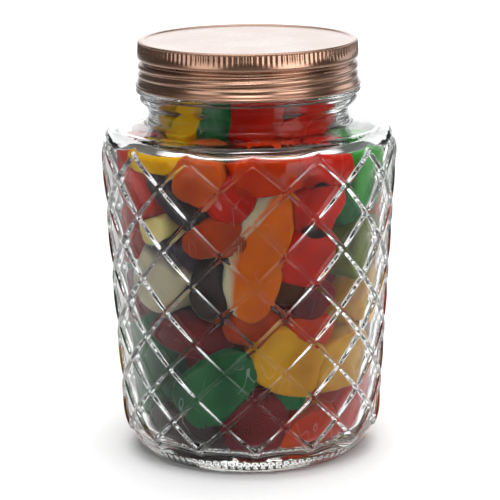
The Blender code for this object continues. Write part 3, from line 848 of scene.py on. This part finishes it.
def lay_outer():
    """Every jujube that touches the glass, as (kind, place, axes, half sizes), before they settle."""
    laid = []

    def lay(angle, height, length, width, turn, depth):
        thick = min(JUJUBE_SIZE[2], width) / 2
        reach = room_radius(height) - thick + PRESS - depth
        place = Vector((reach * math.sin(angle), -reach * math.cos(angle), height))
        laid.append((place, frame_at(angle, turn), (length / 2, width / 2, thick)))

    for _, angle, height, length, width, turn, depth in FRONT_JUJUBES:
        lay(math.radians(angle), height * MM, length * MM, width * MM, math.radians(turn), depth * MM)
    draw = np.random.default_rng(SEED)
    step = (BACK_END - BACK_START) / BACK_COUNT
    for level, height in enumerate(BACK_LEVELS):
        for place in range(BACK_COUNT):
            angle = BACK_START + step * (place + BACK_OFFSETS[level % 2])
            angle += draw.uniform(-BACK_SPREAD, BACK_SPREAD)
            lift = draw.uniform(-BACK_LIFT, BACK_LIFT)
            length, width = draw.uniform(*BACK_SIZES, 2) * JUJUBE_SIZE[:2]
            lay(math.radians(angle), height + lift, length, width, math.radians(draw.uniform(0, 180)), 0)
    for angle in NECK_BACK:
        turn = math.radians(draw.uniform(-NECK_TURN, NECK_TURN))
        lay(math.radians(angle), NECK_LEVEL, JUJUBE_SIZE[0], JUJUBE_SIZE[1] * NECK_WIDTH, turn, 0)
    kinds = [row[0] for row in FRONT_JUJUBES]
    kinds += list(draw.choice(BACK_KINDS, len(laid) - len(kinds) - len(NECK_KINDS)))
    kinds += NECK_KINDS
    return [(kind, *jujube) for kind, jujube in zip(kinds, laid)]


# %% [markdown]
# The jujubes behind the first layer only show as colour in the gaps, so they lie in loose rings with one on
# the axis. Each takes the kind of the nearest jujube of the first layer, so that no gap shows a stray colour.

# %% Lay the jujubes behind them
INNER_LEVELS = np.arange(17, 118, 14.0) * MM
INNER_RINGS_TOP = SHOULDER_UNDER - 10 * MM
INNER_RING = 20.0 * MM  # radius
INNER_COUNT = 5  # in each ring
INNER_SPREAD = 8  # degrees
INNER_LEAN = 0.6  # radians
INNER_LIFT = 2  # mm
INNER_SIZES = (0.8, 1.0)  # share of the usual size


def lay_inner():
    """The jujubes behind the first layer, as (kind, place, axes, half sizes), before they settle."""
    laid = []
    draw = np.random.default_rng(SEED + 1)
    step = 360 / INNER_COUNT
    for level, height in enumerate(INNER_LEVELS):
        spots = [(0.0, 0.0)]
        if height < INNER_RINGS_TOP:
            spots += [(INNER_RING, step * (spot + level / 2)) for spot in range(INNER_COUNT)]
        for reach, angle in spots:
            angle = math.radians(angle + draw.uniform(-INNER_SPREAD, INNER_SPREAD))
            lean = Matrix.Rotation(draw.uniform(-INNER_LEAN, INNER_LEAN), 3, "X")
            lean @= Matrix.Rotation(draw.uniform(-INNER_LEAN, INNER_LEAN), 3, "Y")
            lift = draw.uniform(-INNER_LIFT, INNER_LIFT) * MM
            place = Vector((reach * math.sin(angle), -reach * math.cos(angle), height + lift))
            half = Vector(JUJUBE_SIZE) / 2 * draw.uniform(*INNER_SIZES)
            axes = lean @ frame_at(angle, draw.uniform(0, math.pi))
            nearest = min(outer, key=lambda jujube: (jujube[1] - place).length)[0]
            laid.append((nearest.removesuffix("_cream"), place, axes, tuple(half)))
    return laid


outer = lay_outer()
inner = lay_inner()
print(len(outer), "jujubes against the glass and", len(inner), "behind them")

# %% [markdown]
# To settle, a jujube counts as a few soft balls in a flat patch. Balls of different jujubes that overlap push
# each other apart, and the glass pushes them back. It is a small, repeatable form of physics.

# %% Settle the jujubes
SETTLE_STEPS = 50
SETTLE_PUSH = 1.2  # share of an overlap that one step undoes
SOFTNESS = 0.75  # of its thickness, that a jujube keeps where others press on it


def soft_balls(laid):
    """The balls of all the jujubes: whose each is, where it lies from that one's middle, and its radius."""
    owners, offsets, radii = [], [], []
    for owner, (_, _, axes, half) in enumerate(laid):
        ball = half[2]
        counts = [max(1, math.ceil(half[side] / ball)) for side in (0, 1)]
        reach = [np.linspace(-1, 1, count) * (half[side] - ball) if count > 1 else [0.0]
                 for side, count in enumerate(counts)]
        for along in reach[0]:
            for across in reach[1]:
                owners.append(owner)
                offsets.append(axes @ Vector((along, across, 0)))
                radii.append(ball * SOFTNESS)
    return np.array(owners), np.array(offsets), np.array(radii)


def settle(laid, held=0):
    """Places of the jujubes after they have pushed each other apart. The first held ones stay put."""
    places = np.array([place for _, place, _, _ in laid])
    owners, offsets, radii = soft_balls(laid)
    others = owners[:, None] != owners[None, :]
    for _ in range(SETTLE_STEPS):
        balls = places[owners] + offsets
        apart = balls[:, None] - balls[None, :]
        distance = np.sqrt((apart**2).sum(axis=2)) + 1e-9
        overlap = np.where(others, np.maximum(radii[:, None] + radii[None, :] - distance, 0), 0)
        push = (apart * (overlap / distance)[:, :, None]).sum(axis=1) / 2
        move = np.zeros_like(places)
        touching = np.ones(len(places))
        np.add.at(move, owners, push)
        np.add.at(touching, owners, (overlap > 0).sum(axis=1))
        places[held:] += (SETTLE_PUSH * move / touching[:, None])[held:]
        shifts = shift_inside(places[owners] + offsets, radii)
        for owner in range(held, len(places)):
            mine = shifts[owners == owner]
            places[owner] += mine[np.argmax(np.abs(mine), axis=0), (0, 1, 2)]
    return places


def moved(laid, places):
    """The same jujubes at new places."""
    return [(kind, Vector(place), axes, half) for (kind, _, axes, half), place in zip(laid, places)]


outer = moved(outer, settle(outer))
heap = outer + inner
heap = moved(heap, settle(heap, held=len(outer)))
print("settled", len(heap), "jujubes up to", round(max(place.z for _, place, _, _ in heap) / MM, 1), "mm")

# %% [markdown]
# A cube whose sides are cut into a fine grid, blown up to a superellipsoid, has even faces all over, unlike a
# globe with its crowded poles. Slow noise then gives each jujube lumps of its own, and it bends a little. It is
# made larger than its room, and what would reach the wall is pressed flat, as the glass does it.

# %% Shape one jujube
JUJUBE_POWER = 2.8  # how square it is: 2 is an ellipsoid
SWELL = 1.09  # the jelly gives where jujubes press on each other, so each is larger than its room
LUMPS = 0.17  # share of its size, of the broad lumps that make each one uneven
LUMP_SCALE = 1.1
DIMPLES = 0.03  # and of the small dimples in its skin
DIMPLE_SCALE = 2.9
NOISE_STEP = (7.3, 3.1)  # from one jujube's place in the noise to the next one's
FLATTEN = 1.2  # extra thickness, which the glass presses flat
BEND = 0.16  # share of its thickness, that its ends curl
BEND_LEVEL = 0.4  # where a bent one crosses its own middle


def block_points(cuts):
    """Points and faces of a cube whose sides are cut into cuts x cuts squares."""
    bm = bmesh.new()
    bmesh.ops.create_cube(bm, size=2)
    bmesh.ops.subdivide_edges(bm, edges=bm.edges[:], cuts=cuts - 1, use_grid_fill=True)
    bm.verts.ensure_lookup_table()
    points = [vert.co.copy() for vert in bm.verts]
    faces = [[vert.index for vert in face.verts] for face in bm.faces]
    bm.free()
    return np.array(points), faces


def jujube_points(number, place, axes, half, block):
    """Points of one jujube, in its own shares and in place."""
    local = block / (np.abs(block) ** JUJUBE_POWER).sum(axis=1, keepdims=True) ** (1 / JUJUBE_POWER)
    drift = Vector((*NOISE_STEP, 0)) * number
    slow = np.array([noise.noise(Vector(point) * LUMP_SCALE + drift) for point in local])
    quick = np.array([noise.noise(Vector(point) * DIMPLE_SCALE + drift) for point in local])
    shape = local * SWELL * (1 + LUMPS * slow + DIMPLES * quick)[:, None]
    shape[:, 2] *= FLATTEN
    shape[:, 2] += BEND * (shape[:, 0] ** 2 - BEND_LEVEL) * (number % 3 - 1)
    world = np.array(place) + (shape * half) @ np.array(axes).T
    return local, world + shift_inside(world, 0.0, skin=True)


OUTER_CUTS = 12  # squares along each side of the cube
INNER_CUTS = 7
outer_block, inner_block = block_points(OUTER_CUTS), block_points(INNER_CUTS)
print("a jujube has", len(outer_block[1]), "faces")

# %% [markdown]
# A jujube is clear jelly, but light that goes in soon meets another one. Real transmission inside the glass
# would need very many bounces and turn dark, so the jelly scatters light under its skin instead, which keeps
# the colour full and the edges soft. Its own gloss is low, because the glass before it carries the highlights.
# Pale scuffs lie where the jelly has stuck to the glass and let go. The same pale lines are also painted
# highlights, which stand for small glints on its skin.
#
# Some jujubes are cast in two pours: cream under orange, or black on cream. Each point keeps a number called
# tone, which says how far it lies past the line between the pours. The finish turns tone into colour.

# %% Finishes of the jellies
JELLIES = {
    # kind: darker and lighter colour
    "red": ((0.28, 0.005, 0.003), (0.64, 0.020, 0.008)),
    "dark_red": ((0.34, 0.010, 0.007), (0.70, 0.030, 0.015)),
    "amber": ((0.42, 0.050, 0.008), (0.74, 0.140, 0.020)),
    "brown": ((0.27, 0.022, 0.005), (0.46, 0.060, 0.012)),
    "dark_brown": ((0.050, 0.012, 0.004), (0.090, 0.022, 0.006)),
    "orange": ((0.66, 0.100, 0.002), (0.86, 0.190, 0.004)),
    "red_orange": ((0.38, 0.012, 0.001), (0.60, 0.050, 0.003)),
    "yellow": ((0.62, 0.300, 0.004), (0.90, 0.500, 0.010)),
    "pale_yellow": ((0.72, 0.560, 0.200), (0.86, 0.740, 0.340)),
    "gold": ((0.44, 0.180, 0.003), (0.66, 0.340, 0.012)),
    "green": ((0.004, 0.065, 0.018), (0.024, 0.170, 0.055)),
    "bright_green": ((0.010, 0.150, 0.020), (0.060, 0.400, 0.050)),
    "olive": ((0.090, 0.120, 0.006), (0.220, 0.250, 0.012)),
    "maroon": ((0.080, 0.003, 0.006), (0.200, 0.010, 0.014)),
    "black": ((0.016, 0.010, 0.013), (0.060, 0.036, 0.036)),
    "orange_cream": ((0.52, 0.080, 0.002), (0.70, 0.160, 0.004)),
    "black_cream": ((0.020, 0.013, 0.022), (0.050, 0.034, 0.050)),
}
CREAM = ((0.45, 0.38, 0.25), (0.63, 0.55, 0.40))
POURS = {
    # kind: how fast its tone grows along its length, its width and towards its ends, and where the line lies
    "orange_cream": (0.15, 1.0, 0.7, 0.75),
    "black_cream": (-1.0, -0.15, 0.0, -0.3),
}
POUR_BLEND = 0.12  # of tone, on either side of the line between two pours
SCATTER_DEPTH = 4 * MM
SCATTER_REACH = (1.0, 0.4, 0.25)  # red light goes deepest
JELLY_ROUGHNESS = (0.30, 0.36)
JELLY_GRAIN_HEIGHT = 0.01 * MM
# Pale lines painted into the jellies' colour: partly scuffs, partly painted highlights for small glints
SCUFF_AND_GLINT_WIDTH = 0.006  # of the noise pattern's range, round its middle
SCUFF_AND_GLINT_STRENGTH = 0.35
SCUFF_AND_GLINT_PATCHES = (0.52, 0.62)  # of a second pattern: where the scuffs and painted glints begin, and where they are full


def add_scuffs_and_glints(tree, colour, bright):
    """Thin pale lines, in patches: a noise pattern's own contour lines, faded by a second pattern. They are
    scuffs, and painted highlights of small glints.
    """
    line = tree.nodes.new("ShaderNodeMath")
    line.operation = "COMPARE"
    line.inputs[1].default_value = 0.5
    line.inputs[2].default_value = SCUFF_AND_GLINT_WIDTH
    tree.links.new(add_noise(tree, 90, detail=1.0, stretch=(1.7, 1.7, 0.8)), line.inputs[0])
    patches = add_range(tree, add_noise(tree, 48, detail=1.0), 0, SCUFF_AND_GLINT_STRENGTH, *SCUFF_AND_GLINT_PATCHES)
    amount = tree.nodes.new("ShaderNodeMath")
    amount.operation = "MULTIPLY"
    tree.links.new(line.outputs["Value"], amount.inputs[0])
    tree.links.new(patches, amount.inputs[1])
    # The lines' colour, paler than the jelly: scuffs, and painted glints of light
    pale = tuple(0.5 + 0.5 * value for value in bright)
    return add_mix(tree, amount.outputs["Value"], colour, pale)


def jelly_finish(kind):
    """A smooth chewy jelly whose colour and gloss vary a little."""
    deep, bright = JELLIES[kind]
    finish, tree, shader = new_finish(
        f"{kind}_jelly",
        IOR=1.45,
        Specular_IOR_Level=0.05,
        Subsurface_Weight=1.0,
        Subsurface_Scale=SCATTER_DEPTH,
        Subsurface_Radius=SCATTER_REACH,
    )
    cloud = add_noise(tree, 75, detail=3.0)
    colour = add_colours(tree, cloud, deep, bright)
    if kind in POURS:
        tone = tree.nodes.new("ShaderNodeAttribute")
        tone.attribute_name = "tone"
        share = add_range(tree, tone.outputs["Fac"], 0, 1, -POUR_BLEND, POUR_BLEND)
        colour = add_mix(tree, share, colour, add_colours(tree, cloud, *CREAM))
    # Pale lines over the colour: scuffs, and painted highlights for small glints
    colour = add_scuffs_and_glints(tree, colour, bright)
    tree.links.new(colour, shader.inputs["Base Color"])
    grain = add_noise(tree, 420, detail=3.0)
    tree.links.new(add_range(tree, grain, *JELLY_ROUGHNESS), shader.inputs["Roughness"])
    add_bump(tree, shader, grain, JELLY_GRAIN_HEIGHT)
    return finish


print(len(JELLIES), "kinds of jelly")

# %% [markdown]
# Each jujube could be an object of its own. All of one kind share a finish, though, so they are joined in one
# mesh, which leaves seventeen pieces to look after in place of a hundred. Inside it they stay separate skins.

# %% Make the heap
ONE_POUR = (0, 0, 0, 1)  # in place of a row of POURS, for the kinds without a second pour
POUR_WAVER = 0.15  # how far the line between two pours wanders
POUR_WAVER_SCALE = 2


def make_jujubes(kind, jujubes):
    """All the jujubes of one kind, as one piece."""
    bm = bmesh.new()
    tone = bm.verts.layers.float.new("tone")
    along, across, ends, line = POURS.get(kind, ONE_POUR)
    for number, (_, place, axes, half) in jujubes:
        block, faces = outer_block if number < len(outer) else inner_block
        local, world = jujube_points(number, place, axes, half, block)
        verts = [bm.verts.new(point) for point in world]
        for vert, share in zip(verts, local):
            past = along * share[0] + across * share[1] + ends * share[0] ** 2 - line
            vert[tone] = past + POUR_WAVER * noise.noise(Vector(share) * POUR_WAVER_SCALE)
        for face in faces:
            bm.faces.new([verts[index] for index in face])
    return add_piece(f"{kind}_jujubes", bm, [jelly_finish(kind)], "sweets")


for kind in JELLIES:
    jujubes = [(number, jujube) for number, jujube in enumerate(heap) if jujube[0] == kind]
    if jujubes:
        make_jujubes(kind, jujubes)
